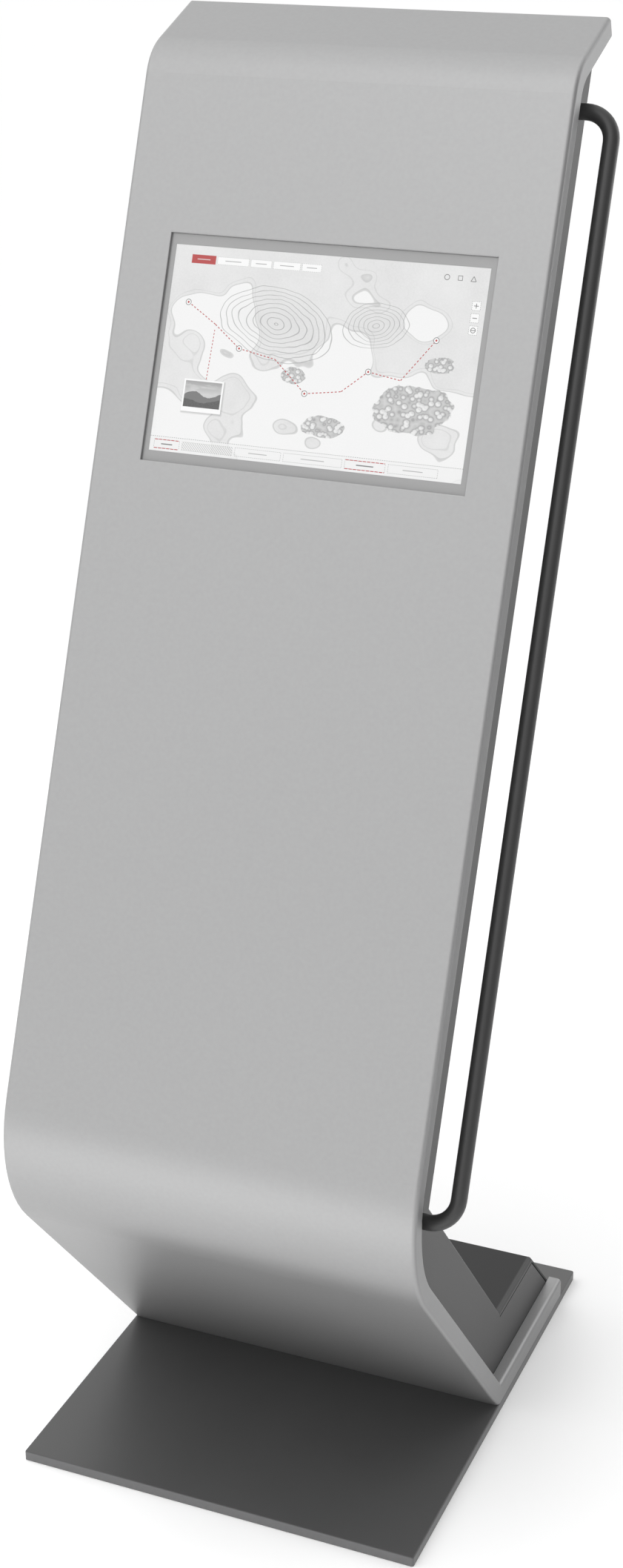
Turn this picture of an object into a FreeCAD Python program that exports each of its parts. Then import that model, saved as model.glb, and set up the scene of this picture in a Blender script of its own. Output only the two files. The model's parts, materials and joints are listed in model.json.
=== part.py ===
import FreeCAD, Part
import math
import os

os.makedirs("parts", exist_ok=True)

V = FreeCAD.Vector

# ---------------------------------------------------------------------------
# Free-standing information stele with a touch screen, millimetres.
# X to the right (seen from the front), Y to the back, Z up.
# Origin: mid-width, on the floor, under the line where the front band's
# diagonal part meets the floor plate.
# ---------------------------------------------------------------------------
width = 500.0            # floor plate and front band
half = width / 2
plate_front = -302.0
plate_rear = 318.0
plate_t = 12.0
band_t = 25.0            # thickness of the folded front band
skin_t = 3.0             # its sheet
edge_r = 5.0             # rounding of its long edges
lean = 21.32             # panel, degrees back from vertical
rise = 49.02             # diagonal, degrees above horizontal
lip_rise = 21.0          # lip, degrees above horizontal
corner_y, corner_z = -340.7, 404.6   # virtual corner of diagonal and panel, outer face
panel_len = 1289.9       # virtual corner to virtual corner
lip_len = 115.9          # virtual corner to the end of the lip
bend_r = 170.0           # outer radius of the lower bend
lip_r = 60.0             # outer radius of the upper bend
leg_end = 256.5          # rear end of the band's leg, flush with the low box
core_half = 233.3        # outer faces of the side plates
side_t = 4.0             # side plates
core_d = 102.5           # outer face of the band to the rear skins
skin2_t = 2.0            # rear skins
foot_top = 115.0         # top of the low box
foot_y1 = 177.0          # where its top turns into the slope
foot_y2 = 256.5          # foot of the slope
foot_low = 32.2
cover_drop = 5.2         # turned-down rim of the low box's cover
cover_seam = 1.6         # seam between that rim and the side plates
cover_r = 5.0            # rounding of the cover's long edges
win_half = 190.5         # screen window
win_s0, win_s1 = 834.9, 1088.2
rail_x = 277.5           # axis of the tube bow
rail_d = 60.0
rail_od = 18.0
rail_id = 14.0
rail_bend = 31.0
rail_s0, rail_s1 = 55.2, 1259.4
gap = 0.1                # seams between parts that don't touch

LE, RI, LI = (math.radians(v) for v in (lean, rise, lip_rise))


def export(shape, name):
    shape.exportStep("parts/%s.step" % name)
    solids = shape.Solids
    print("%-24s solids %2d valid %s volume %.1f cm3" % (
        name, len(solids), shape.isValid(), sum(s.Volume for s in solids) / 1000.0))


def group(shapes):
    return Part.makeCompound(shapes)


def fuse(shapes):
    out = shapes[0]
    for s in shapes[1:]:
        out = out.fuse(s)
    return out.removeSplitter()


def cut(a, tools):
    for t in tools:
        a = a.cut(t)
    return a


# ---------------------------------------------------------------- 2D profile
# points are (y, z); every path is offset towards the rear by d
U_PAN = (math.sin(LE), math.cos(LE))       # up the panel
N_PAN = (math.cos(LE), -math.sin(LE))      # into the panel
U_DIA = (-math.cos(RI), math.sin(RI))      # up the diagonal
N_DIA = (math.sin(RI), math.cos(RI))
U_LIP = (math.cos(LI), math.sin(LI))
N_LIP = (math.sin(LI), -math.cos(LI))
VB = (corner_y, corner_z)
VT = (VB[0] + panel_len * U_PAN[0], VB[1] + panel_len * U_PAN[1])
C0 = (0.0, plate_t)


def add(p, u, s, n=(0, 0), d=0.0):
    return (p[0] + u[0] * s + n[0] * d, p[1] + u[1] * s + n[1] * d)


def meet(p, u, q, v):
    det = -u[0] * v[1] + u[1] * v[0]
    rx, ry = q[0] - p[0], q[1] - p[1]
    t = (-rx * v[1] + ry * v[0]) / det
    return (p[0] + u[0] * t, p[1] + u[1] * t)


ang_pan_down = math.atan2(-U_PAN[1], -U_PAN[0])
ang_dia_down = math.atan2(-U_DIA[1], -U_DIA[0])
turn_b = abs(ang_dia_down - ang_pan_down)
turn_t = abs(math.atan2(U_PAN[1], U_PAN[0]) - math.atan2(U_LIP[1], U_LIP[0]))
tan_b = bend_r * math.tan(turn_b / 2)
tan_t = lip_r * math.tan(turn_t / 2)
# centres of the two bends
CB = add(VB, U_PAN, tan_b, N_PAN, bend_r)
CT = add(VT, U_PAN, -tan_t, N_PAN, lip_r)


def at(c, n, r):
    return (c[0] - n[0] * r, c[1] - n[1] * r)


def mid(n1, n2):
    x, y = n1[0] + n2[0], n1[1] + n2[1]
    m = math.hypot(x, y)
    return (x / m, y / m)


NB = mid(N_PAN, N_DIA)
NT = mid(N_PAN, N_LIP)


def path(d, low=None, lip_to=None):
    """points of the band's path at depth d: leg end, V corner, diagonal,
    lower bend (3), panel, upper bend (3), lip end"""
    zl = plate_t + d if low is None else low
    corner = meet((0.0, zl), (1.0, 0.0), add(C0, U_DIA, 0, N_DIA, d), U_DIA)
    leg = (leg_end, zl)
    b1, bm, b2 = at(CB, N_DIA, bend_r - d), at(CB, NB, bend_r - d), at(CB, N_PAN, bend_r - d)
    t1, tm, t2 = at(CT, N_PAN, lip_r - d), at(CT, NT, lip_r - d), at(CT, N_LIP, lip_r - d)
    end = add(VT, U_LIP, lip_len if lip_to is None else lip_to, N_LIP, d)
    return [leg, corner, b1, bm, b2, t1, tm, t2, end]


def P(x, p):
    return V(x, p[0], p[1])


def path_edges(p, x, first=0):
    e = []
    if first == 0:
        e.append(Part.makeLine(P(x, p[0]), P(x, p[1])))
    e.append(Part.makeLine(P(x, p[1]), P(x, p[2])))
    e.append(Part.Arc(P(x, p[2]), P(x, p[3]), P(x, p[4])).toShape())
    e.append(Part.makeLine(P(x, p[4]), P(x, p[5])))
    e.append(Part.Arc(P(x, p[5]), P(x, p[6]), P(x, p[7])).toShape())
    e.append(Part.makeLine(P(x, p[7]), P(x, p[8])))
    return e


def face_of(edges):
    return Part.Face(Part.Wire(Part.__sortEdges__(edges)))


def band(d0, d1, x0, x1):
    a, b = path(d0), path(d1)
    e = path_edges(a, x0) + path_edges(b, x0)
    e.append(Part.makeLine(P(x0, a[0]), P(x0, b[0])))
    e.append(Part.makeLine(P(x0, a[8]), P(x0, b[8])))
    return face_of(e).extrude(V(x1 - x0, 0, 0))


def prism(pts, x0, x1):
    w = Part.makePolygon([P(x0, p) for p in pts] + [P(x0, pts[0])])
    return Part.Face(w).extrude(V(x1 - x0, 0, 0))


# -------------------------------------------------------------- local frames
# panel frame: x, depth D behind the front face, s up the panel from VB
PAN = FreeCAD.Placement(V(0, VB[0], VB[1]), FreeCAD.Rotation(V(1, 0, 0), -lean))
# diagonal frame: x, D, s up the diagonal from the contact line
DIA = FreeCAD.Placement(V(0, C0[0], C0[1]), FreeCAD.Rotation(V(1, 0, 0), 90 - rise))


def put(shape, pl):
    s = shape.copy()
    s.Placement = pl.multiply(s.Placement)
    return s


def lbox(x0, x1, d0, d1, s0, s1):
    return Part.makeBox(x1 - x0, d1 - d0, s1 - s0, V(x0, d0, s0))


def lcyl(r, x, d, s, h, axis=V(0, 1, 0)):
    return Part.makeCylinder(r, h, V(x, d, s), axis)


# ---------------------------------------------------------------- base plate
bolt_x, bolt_y0, bolt_y1 = 170.0, 62.0, 212.0
base = Part.makeBox(width, plate_rear - plate_front, plate_t, V(-half, plate_front, 0))
uprights = [e for e in base.Edges if abs(e.Vertexes[0].Z - e.Vertexes[-1].Z) > 1.0]
base = base.makeFillet(3.0, uprights)
top_edges = [e for e in base.Edges if all(abs(v.Z - plate_t) < 1e-6 for v in e.Vertexes)]
base = base.makeFillet(1.6, top_edges)
anchor = [Part.makeCylinder(7.0, plate_t + 2, V(sx * bolt_x, y, -1)) for sx in (-1, 1) for y in (bolt_y0, bolt_y1)]
tapped = [Part.makeCylinder(4.0, plate_t + 2, V(sx * 100.0, y, -1)) for sx in (-1, 1) for y in (62.0, 137.0, 212.0)]
base = cut(base, anchor + tapped)
export(base, "base_plate")

# --------------------------------------------------------------- front shell
skin = band(0, skin_t, -half, half)
flange_r = band(0, band_t, half - skin_t, half)
flange_l = band(0, band_t, -half, -half + skin_t)
ret_in = core_half + 0.3
ret_r = band(band_t - skin_t, band_t, ret_in, half)
ret_l = band(band_t - skin_t, band_t, -half, -ret_in)
p0, p20, p17 = path(0), path(band_t), path(band_t - skin_t)
# the rims of the leg are closed at the rear; between them the low box's cover closes it
leg_caps = [Part.makeBox(half - ret_in, skin_t, band_t, V(x, leg_end - skin_t, plate_t)) for x in (-half, ret_in)]
lip_cap = prism([p0[8], p20[8], add(p20[8], U_LIP, -skin_t), add(p0[8], U_LIP, -skin_t)], -half, half)
shell = fuse([skin, flange_r, flange_l, ret_r, ret_l, lip_cap] + leg_caps)

# rounded long edges, both sides


def on_path(e, pts, x):
    """edge e lies on the path polyline or arcs at side x"""
    vs = [v.Point for v in e.Vertexes]
    if len(vs) != 2:
        return False
    for v in vs:
        if abs(v.x - x) > 1e-4:
            return False
    return all(min(math.hypot(v.y - q[0], v.z - q[1]) for q in pts) < 1e-3 for v in vs)


outer_pts = [p0[1], p0[2], p0[4], p0[5], p0[7], p0[8]]
inner_pts = [p20[0], p20[1], p20[2], p20[4], p20[5], p20[7], p20[8]]
longs = []
for x in (-half, half):
    for pts in (outer_pts, inner_pts):
        for e in shell.Edges:
            if on_path(e, pts, x) and e.Length > 25.0:
                longs.append(e)
print("edges to round", len(longs), [round(e.Length) for e in longs])
try:
    r = shell.makeFillet(edge_r, longs)
    if r.isValid() and len(r.Solids) == 1:
        shell = r
    else:
        print("fillet not valid", r.isValid(), len(r.Solids))
except Exception as err:
    print("fillet failed", err)

window = put(lbox(-win_half, win_half, -5, 12, win_s0, win_s1), PAN)
shell = shell.cut(window)
inv = PAN.inverse()


def local(v):
    return inv.multVec(v)


win_edges = []
for e in shell.Edges:
    ps = [local(v.Point) for v in e.Vertexes]
    if len(ps) == 2 and all(abs(q.y) < 1e-4 and abs(q.x) < win_half + 1e-3 and win_s0 - 1e-3 < q.z < win_s1 + 1e-3 for q in ps):
        win_edges.append(e)
print("window edges", len(win_edges))
try:
    r = shell.makeFillet(1.2, win_edges)
    if r.isValid():
        shell = r
except Exception as err:
    print("window fillet failed", err)
leg_holes = [Part.makeCylinder(9.0, 6.0, V(sx * bolt_x, y, plate_t - 1)) for sx in (-1, 1) for y in (bolt_y0, bolt_y1)]
leg_holes += [Part.makeCylinder(4.3, 6.0, V(sx * 100.0, y, plate_t - 1)) for sx in (-1, 1) for y in (62.0, 137.0, 212.0)]
shell = cut(shell, leg_holes)
export(shell, "front_shell")

# --------------------------------------------------------------- side plates
low_z = plate_t + skin_t
fr = path(skin_t + gap, low=low_z)
corner_low = meet((0.0, low_z), (1.0, 0.0), add(C0, U_DIA, 0, N_DIA, skin_t + gap), U_DIA)
rear_pan = (add(VB, U_PAN, 0, N_PAN, core_d), U_PAN)
rear_dia = (add(C0, U_DIA, 0, N_DIA, core_d), U_DIA)
R_KNEE = meet(rear_pan[0], rear_pan[1], rear_dia[0], rear_dia[1])
R_FOOT = meet(rear_dia[0], rear_dia[1], (0.0, foot_top), (1.0, 0.0))
lip_under_line = add(VT, U_LIP, 0, N_LIP, band_t + gap)
R_TOP = meet(rear_pan[0], rear_pan[1], lip_under_line, U_LIP)
CAP_A = add(VT, U_LIP, lip_len - skin_t - gap, N_LIP, skin_t + gap)
CAP_B = add(VT, U_LIP, lip_len - skin_t - gap, N_LIP, band_t + gap)


# slope of the low box: direction down it and outward normal
sl = (foot_y2 - foot_y1, foot_low - foot_top)
sl_len = math.hypot(*sl)
us = (sl[0] / sl_len, sl[1] / sl_len)
ns = (-us[1], us[0])
if ns[1] < 0:
    ns = (-ns[0], -ns[1])


def box_line(d):
    """top, slope and rear of the low box, a distance d inside its outline"""
    q = (foot_y1 - ns[0] * d, foot_top - ns[1] * d)
    b = meet((0.0, foot_top - d), (1.0, 0.0), q, us)
    c = meet(q, us, (foot_y2 - d, 0.0), (0.0, 1.0))
    return b, c


SP_B, SP_C = box_line(cover_drop + cover_seam)
SP_A = (R_FOOT[0], foot_top - cover_drop - cover_seam)
SP_D = (SP_C[0], low_z)


def side_face(x):
    e = []
    e.append(Part.makeLine(P(x, SP_D), P(x, corner_low)))
    e.append(Part.makeLine(P(x, corner_low), P(x, fr[2])))
    e.append(Part.Arc(P(x, fr[2]), P(x, fr[3]), P(x, fr[4])).toShape())
    e.append(Part.makeLine(P(x, fr[4]), P(x, fr[5])))
    e.append(Part.Arc(P(x, fr[5]), P(x, fr[6]), P(x, fr[7])).toShape())
    e.append(Part.makeLine(P(x, fr[7]), P(x, CAP_A)))
    e.append(Part.makeLine(P(x, CAP_A), P(x, CAP_B)))
    e.append(Part.makeLine(P(x, CAP_B), P(x, R_TOP)))
    e.append(Part.makeLine(P(x, R_TOP), P(x, R_KNEE)))
    e.append(Part.makeLine(P(x, R_KNEE), P(x, R_FOOT)))
    e.append(Part.makeLine(P(x, R_FOOT), P(x, SP_A)))
    e.append(Part.makeLine(P(x, SP_A), P(x, SP_B)))
    e.append(Part.makeLine(P(x, SP_B), P(x, SP_C)))
    e.append(Part.makeLine(P(x, SP_C), P(x, SP_D)))
    return face_of(e)


rear_pts = [R_TOP, R_KNEE, R_FOOT]


def side_plate(sign):
    x0 = core_half - side_t if sign > 0 else -core_half
    s = side_face(x0).extrude(V(side_t, 0, 0))
    xo = sign * core_half
    ed = [e for e in s.Edges if on_path(e, rear_pts, xo)]
    print("side plate rear edges", len(ed))
    try:
        r = s.makeFillet(side_t - 0.2, ed)
        if r.isValid():
            s = r
    except Exception as err:
        print("side fillet failed", err)
    return s


side_r = side_plate(1)
side_l = side_plate(-1)
rail_holes = [put(lcyl(4.3, core_half - side_t - 1, rail_d, s, side_t + 2, V(1, 0, 0)), PAN) for s in (rail_s0, rail_s1)]
side_r = cut(side_r, rail_holes)
export(side_r, "side_plate_right")
export(side_l, "side_plate_left")

# ------------------------------------------------------------- rear skins
in_half = core_half - side_t          # inner faces of the side plates
cov = in_half - gap                   # half width of the rear skins
knee_n = mid(N_PAN, N_DIA)


def knee_cut(d):
    """point on the mitre plane of the knee at depth d, in the panel frame s"""
    return d * math.tan(turn_b / 2)


# panel back: from the knee to the underside of the lip
door_half, door_s0, door_s1 = 182.0, 330.0, 1110.0
pb_out = [add(VB, U_PAN, knee_cut(core_d) + gap, N_PAN, core_d)]
pb_out.append(R_TOP)
in_line = add(VB, U_PAN, 0, N_PAN, core_d - skin2_t)
pb_in_top = meet(in_line, U_PAN, lip_under_line, U_LIP)
pb_in_low = add(VB, U_PAN, knee_cut(core_d - skin2_t) + gap, N_PAN, core_d - skin2_t)
panel_back = prism([pb_out[0], pb_out[1], pb_in_top, pb_in_low], -cov, cov)
panel_back = panel_back.cut(put(lbox(-door_half, door_half, core_d - 5, core_d + 5, door_s0, door_s1), PAN))
# fan outlet: rows of slots in a square, above the door
fan_s = 1178.0
slots = []
for i in range(-4, 5):
    w = 30.0 if abs(i) < 3 else 22.0
    slots.append(put(lbox(-w, w, core_d - 5, core_d + 5, fan_s + i * 7.5 - 1.75, fan_s + i * 7.5 + 1.75), PAN))
panel_back = cut(panel_back, slots)
pb_screw = [(sx * (in_half - 9), s) for sx in (-1, 1) for s in (110.0, 300.0, 490.0, 680.0, 870.0, 1060.0, 1190.0)]
panel_back = cut(panel_back, [put(lcyl(2.7, x, core_d - 5, s, 10), PAN) for x, s in pb_screw])
fan_holes = [(sx * 35.75, fan_s + sy * 35.75) for sx in (-1, 1) for sy in (-1, 1)]
panel_back = cut(panel_back, [put(lcyl(2.2, x, core_d - 5, s, 10), PAN) for x, s in fan_holes])

# hinge leaf screws go through the frame side of the opening
hinge_s = (440.0, 1000.0)
hinge_x, hinge_d = -203.0, core_d + 7.0
knuckle_r, pin_r = 4.5, 2.5
frame_leaf_holes = [(-217.0, s + ds) for s in hinge_s for ds in (-24.0, 0.0, 24.0)]
panel_back = cut(panel_back, [put(lcyl(2.1, x, core_d - 5, s, 10), PAN) for x, s in frame_leaf_holes])
export(panel_back, "panel_back")

# diagonal back: from the top of the low box to the knee
knee_dia = lambda d: (meet(add(C0, U_DIA, 0, N_DIA, d), U_DIA, add(VB, U_PAN, 0, N_PAN, d), U_PAN))


def back_shift(p, u, s):
    return (p[0] + u[0] * s, p[1] + u[1] * s)


k1 = back_shift(knee_dia(core_d), U_DIA, -gap)
k2 = back_shift(knee_dia(core_d - skin2_t), U_DIA, -gap)
f1 = meet(rear_dia[0], U_DIA, (0.0, foot_top + 0.0), (1.0, 0.0))
f2 = meet(add(C0, U_DIA, 0, N_DIA, core_d - skin2_t), U_DIA, (0.0, foot_top), (1.0, 0.0))
f1 = back_shift(f1, U_DIA, gap)
f2 = back_shift(f2, U_DIA, gap)
diagonal_back = prism([f1, k1, k2, f2], -cov, cov)
dia_len = math.hypot(VB[0] - C0[0], VB[1] - C0[1])
s_foot = (foot_top - C0[1] - core_d * N_DIA[1]) / U_DIA[1]
s_knee = dia_len - core_d * math.tan(turn_b / 2)
print("diagonal back runs s %.1f to %.1f" % (s_foot, s_knee))
db_screw = [(sx * (in_half - 9), s) for sx in (-1, 1) for s in (s_foot + 30, (s_foot + s_knee) / 2, s_knee - 40)]
diagonal_back = cut(diagonal_back, [put(lcyl(2.7, x, core_d - 5, s, 10), DIA) for x, s in db_screw])
in_slots = []
for i in range(8):
    s = s_foot + 60 + i * 14
    for x in (-90.0, 0.0, 90.0):
        in_slots.append(put(lbox(x - 35, x + 35, core_d - 5, core_d + 5, s - 2, s + 2), DIA))
diagonal_back = cut(diagonal_back, in_slots)
export(diagonal_back, "diagonal_back")

# foot cover: flat top, sloping rear and a turned-down rim, one folded sheet
y_in = R_FOOT[0] + 0.4
oB, oC = (foot_y1, foot_top), (foot_y2, foot_low)
iB, iC = box_line(skin2_t)
rB, rC = box_line(cover_drop)


def rounded(block, x, pts, r):
    """round the long edges of a block at both sides"""
    ed = [e for e in block.Edges if on_path(e, pts, x) or on_path(e, pts, -x)]
    print("cover edges", len(ed))
    return block.makeFillet(r, ed)


outer = prism([(y_in, foot_top), oB, oC, (foot_y2, low_z + 0.3), (y_in, low_z + 0.3)], -core_half, core_half)
outer = rounded(outer, core_half, [(y_in, foot_top), oB, oC, (foot_y2, low_z + 0.3)], cover_r)
xi = core_half - skin2_t
inner = prism([(y_in - 5, foot_top - skin2_t), iB, iC, (foot_y2 - skin2_t, low_z - 2), (y_in - 5, low_z - 2)], -xi, xi)
inner = rounded(inner, xi, [(y_in - 5, foot_top - skin2_t), iB, iC, (foot_y2 - skin2_t, low_z - 2)], cover_r - skin2_t)
foot_cover = outer.cut(inner)
foot_cover = foot_cover.cut(prism([(y_in - 6, foot_top - cover_drop), rB, rC, (foot_y2 - cover_drop, low_z - 3), (y_in - 6, low_z - 3)],
                                  -core_half - 1, core_half + 1))
tongue = Part.makeBox(2 * cov, 22.0, skin2_t, V(-cov, R_FOOT[0] - 20.0, foot_top - skin2_t))
foot_cover = foot_cover.fuse(tongue).removeSplitter()
# slope frame: x, down the slope from the top fold, outward
ang_s = math.degrees(math.atan2(-us[1], us[0]))
inlet_x, inlet_t = -120.0, 60.0
SLO = FreeCAD.Placement(V(0, foot_y1, foot_top), FreeCAD.Rotation(V(1, 0, 0), -ang_s))
foot_cover = foot_cover.cut(put(Part.makeBox(28.4, 48.4, 12, V(inlet_x - 14.2, inlet_t - 24.2, -7)), SLO))
foot_cover = cut(foot_cover, [put(Part.makeCylinder(1.7, 12, V(inlet_x + sx * 20.0, inlet_t, -7)), SLO) for sx in (-1, 1)])
fc_screw = [(sx * (in_half - 9), t) for sx in (-1, 1) for t in (26.0, 90.0)]
foot_cover = cut(foot_cover, [put(Part.makeCylinder(2.7, 10, V(x, t, -5)), SLO) for x, t in fc_screw])
export(foot_cover, "foot_cover")

# -------------------------------------------------- strips behind the skins
aw, at_ = 16.0, 2.0


def pan_angle(sign, s0, s1):
    xo = sign * in_half
    a = lbox(min(xo, xo - sign * aw), max(xo, xo - sign * aw), core_d - skin2_t - at_, core_d - skin2_t, s0, s1)
    b = lbox(min(xo, xo - sign * at_), max(xo, xo - sign * at_), core_d - skin2_t - aw, core_d - skin2_t, s0, s1)
    return a.fuse(b)


angles = []
for sgn in (-1, 1):
    a = put(pan_angle(sgn, 75.0, 1225.0), PAN)
    a = cut(a, [put(lcyl(2.25, x, core_d - 8, s, 8), PAN) for x, s in pb_screw if x * sgn > 0])
    if sgn < 0:
        a = cut(a, [put(lcyl(2.1, x, core_d - 8, s, 8), PAN) for x, s in frame_leaf_holes])
    angles.append(a.removeSplitter())
    b = put(pan_angle(sgn, s_foot + 20, s_knee - 15), DIA)
    b = cut(b, [put(lcyl(2.25, x, core_d - 8, s, 8), DIA) for x, s in db_screw if x * sgn > 0])
    angles.append(b.removeSplitter())
    xo = sgn * in_half
    c1 = Part.makeBox(aw, 90.0, at_, V(min(xo, xo - sgn * aw), 12.0, -skin2_t - at_))
    c2 = Part.makeBox(at_, 90.0, aw, V(min(xo, xo - sgn * at_), 12.0, -skin2_t - aw))
    c = c1.fuse(c2).removeSplitter()
    corner = [e for e in c.Edges if all(abs(v.X - xo) < 1e-6 and abs(v.Z + skin2_t) < 1e-6 for v in e.Vertexes)]
    c = c.makeChamfer(3.6, corner)
    c = cut(c, [Part.makeCylinder(2.25, 8, V(x, t, -8)) for x, t in fc_screw if x * sgn > 0])
    angles.append(put(c, SLO))
export(group(angles), "rear_angles")


def button_screw(r_shank, l, r_head, h_head, socket=True):
    """along +Y: shank from y=-l to 0, head from 0 to h_head (outside)"""
    sh = Part.makeCylinder(r_shank, l, V(0, -l, 0), V(0, 1, 0))
    hd = Part.makeCylinder(r_head, h_head, V(0, 0, 0), V(0, 1, 0))
    try:
        ed = [e for e in hd.Edges if all(abs(v.Y - h_head) < 1e-6 for v in e.Vertexes)]
        hd = hd.makeFillet(h_head * 0.6, ed[:1])
    except Exception:
        pass
    s = sh.fuse(hd).removeSplitter()
    if socket:
        a = r_head * 0.34
        hexa = Part.Face(Part.makePolygon([V(a * math.cos(math.radians(k * 60)), h_head - h_head * 0.6, a * math.sin(math.radians(k * 60))) for k in range(7)])).extrude(V(0, h_head, 0))
        s = s.cut(hexa)
    return s


def place(shape, pl, x, d, s):
    q = shape.copy()
    q.Placement = pl.multiply(FreeCAD.Placement(V(x, d, s), FreeCAD.Rotation()))
    return q


M5 = button_screw(2.2, 9.0, 4.75, 2.6)
export(group([place(M5, PAN, x, core_d, s) for x, s in pb_screw]), "panel_back_screws")
export(group([place(M5, DIA, x, core_d, s) for x, s in db_screw]), "diagonal_back_screws")
fcs = []
for x, t in fc_screw:
    q = M5.copy()
    q.Placement = SLO.multiply(FreeCAD.Placement(V(x, t, 0), FreeCAD.Rotation(V(1, 0, 0), 90)))
    fcs.append(q)
export(group(fcs), "foot_cover_screws")

# --------------------------------------------------- cross members and bolts


def tube_x(pl, d0, d1, s0, s1, t=2.0):
    a = lbox(-in_half, in_half, d0, d1, s0, s1)
    b = lbox(-in_half - 1, in_half + 1, d0 + t, d1 - t, s0 + t, s1 - t)
    return put(a.cut(b), pl)


cross = [tube_x(PAN, 30, 60, 250, 270), tube_x(PAN, 30, 60, 790, 810), tube_x(PAN, 26, 56, 1122, 1136),
         tube_x(DIA, 26, 66, 230, 250), tube_x(DIA, 26, 66, 420, 440)]
export(group(cross), "cross_members")

leg_bolt = button_screw(4.0, 10.5, 6.5, 5.0)
lb = []
for sx in (-1, 1):
    for y in (62.0, 137.0, 212.0):
        q = leg_bolt.copy()
        q.Placement = FreeCAD.Placement(V(sx * 100.0, y, plate_t + skin_t), FreeCAD.Rotation(V(1, 0, 0), 90))
        lb.append(q)
export(group(lb), "leg_bolts")

# ------------------------------------------------------------------ tube bow


def rail_pipe(r):
    x0, x1, R = core_half, rail_x, rail_bend
    s0, s1 = rail_s0, rail_s1
    k = math.cos(math.radians(45))
    p = [V(x0, 0, s0), V(x1 - R, 0, s0), V(x1 - R + R * k, 0, s0 + R - R * k), V(x1, 0, s0 + R),
         V(x1, 0, s1 - R), V(x1 - R + R * k, 0, s1 - R + R * k), V(x1 - R, 0, s1), V(x0, 0, s1)]
    e = [Part.makeLine(p[0], p[1]), Part.Arc(p[1], p[2], p[3]).toShape(), Part.makeLine(p[3], p[4]),
         Part.Arc(p[4], p[5], p[6]).toShape(), Part.makeLine(p[6], p[7])]
    w = Part.Wire(e)
    c = Part.Wire([Part.makeCircle(r, p[0], V(1, 0, 0))])
    return w.makePipeShell([c], True, False)


RAILP = PAN.multiply(FreeCAD.Placement(V(0, rail_d, 0), FreeCAD.Rotation()))
rail = rail_pipe(rail_od / 2).cut(rail_pipe(rail_id / 2))
length = 2 * (rail_x - rail_bend - core_half) + (rail_s1 - rail_s0 - 2 * rail_bend) + math.pi * rail_bend
want = math.pi * (rail_od ** 2 - rail_id ** 2) / 4 * length
print("side rail volume %.1f wanted %.1f" % (rail.Volume, want))
export(put(rail, RAILP), "side_rail")
ins = []
bolts = []
wash = []
for s in (rail_s0, rail_s1):
    a = Part.makeCylinder(rail_id / 2, 12.0, V(core_half, rail_d, s), V(1, 0, 0))
    a = a.cut(Part.makeCylinder(4.0, 14.0, V(core_half - 1, rail_d, s), V(1, 0, 0)))
    ins.append(put(a, PAN))
    w = Part.makeCylinder(12.0, 3.0, V(in_half - 3.0, rail_d, s), V(1, 0, 0))
    w = w.cut(Part.makeCylinder(4.2, 5.0, V(in_half - 4.0, rail_d, s), V(1, 0, 0)))
    wash.append(put(w, PAN))
    hexw = Part.makePolygon([V(in_half - 3.0, rail_d + 7.5 * math.cos(math.radians(60 * k)), s + 7.5 * math.sin(math.radians(60 * k))) for k in range(7)])
    hd = Part.Face(hexw).extrude(V(-5.3, 0, 0))
    sh = Part.makeCylinder(3.95, 3.0 + side_t + 11.0, V(in_half - 3.0, rail_d, s), V(1, 0, 0))
    bolts.append(put(hd.fuse(sh).removeSplitter(), PAN))
export(group(ins), "rail_inserts")
export(group(wash), "rail_washers")
export(group(bolts), "rail_bolts")

# -------------------------------------------------------------------- screen
g_half, g_s0, g_s1 = 202.5, win_s0 - 12.0, win_s1 + 12.0
gk = lbox(-g_half, g_half, skin_t, skin_t + 0.6, g_s0, g_s1)
gk = gk.cut(lbox(-win_half - 2, win_half + 2, 0, 10, win_s0 - 2, win_s1 + 2))
export(put(gk, PAN), "screen_gasket")
glass = lbox(-g_half, g_half, skin_t + 0.6, skin_t + 4.6, g_s0, g_s1)
export(put(glass, PAN), "touch_glass")
pic_w, pic_h = 368.0, 230.0
pic_s = (win_s0 + win_s1) / 2
d0 = skin_t + 4.6
mod = lbox(-194.0, 194.0, d0, d0 + 13.0, pic_s - 121.0, pic_s + 121.0)
bump = lbox(-110.0, 110.0, d0 + 13.0, d0 + 19.0, pic_s - 60.0, pic_s + 60.0)
export(put(mod.fuse(bump).removeSplitter(), PAN), "display_module")
# two Z-shaped brackets hold glass and module against the skin
br = []
bs = []
for sg in (-1, 1):
    s_edge = pic_s + sg * 121.0
    e1 = s_edge + sg * 0.3
    a = lbox(-150, 150, d0 + 13.0, d0 + 15.0, min(s_edge - sg * 22, e1 + sg * 2), max(s_edge - sg * 22, e1 + sg * 2))
    b = lbox(-150, 150, d0 + 0.3, d0 + 15.0, min(e1, e1 + sg * 2), max(e1, e1 + sg * 2))
    s_out = (g_s1 + 1.0) if sg > 0 else (g_s0 - 1.0)
    c = lbox(-150, 150, d0 + 0.3, d0 + 2.3, min(e1, s_out + sg * 20), max(e1, s_out + sg * 20))
    z = fuse([a, b, c])
    for x in (-120.0, 0.0, 120.0):
        z = z.cut(lcyl(2.2, x, d0 - 1, s_out + sg * 10, 6))
        st = lcyl(2.0, x, skin_t, s_out + sg * 10, d0 + 2.3 + 6 - skin_t)
        sp = lcyl(4.0, x, skin_t, s_out + sg * 10, d0 + 0.3 - skin_t)
        nut = Part.Face(Part.makePolygon([V(x + 4.0 * math.cos(math.radians(60 * k)), d0 + 2.3, s_out + sg * 10 + 4.0 * math.sin(math.radians(60 * k))) for k in range(7)])).extrude(V(0, 3.2, 0))
        bs.append(put(fuse([st, sp, nut]), PAN))
    br.append(put(z, PAN))
export(group(br), "display_brackets")
export(group(bs), "bracket_studs")

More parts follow.
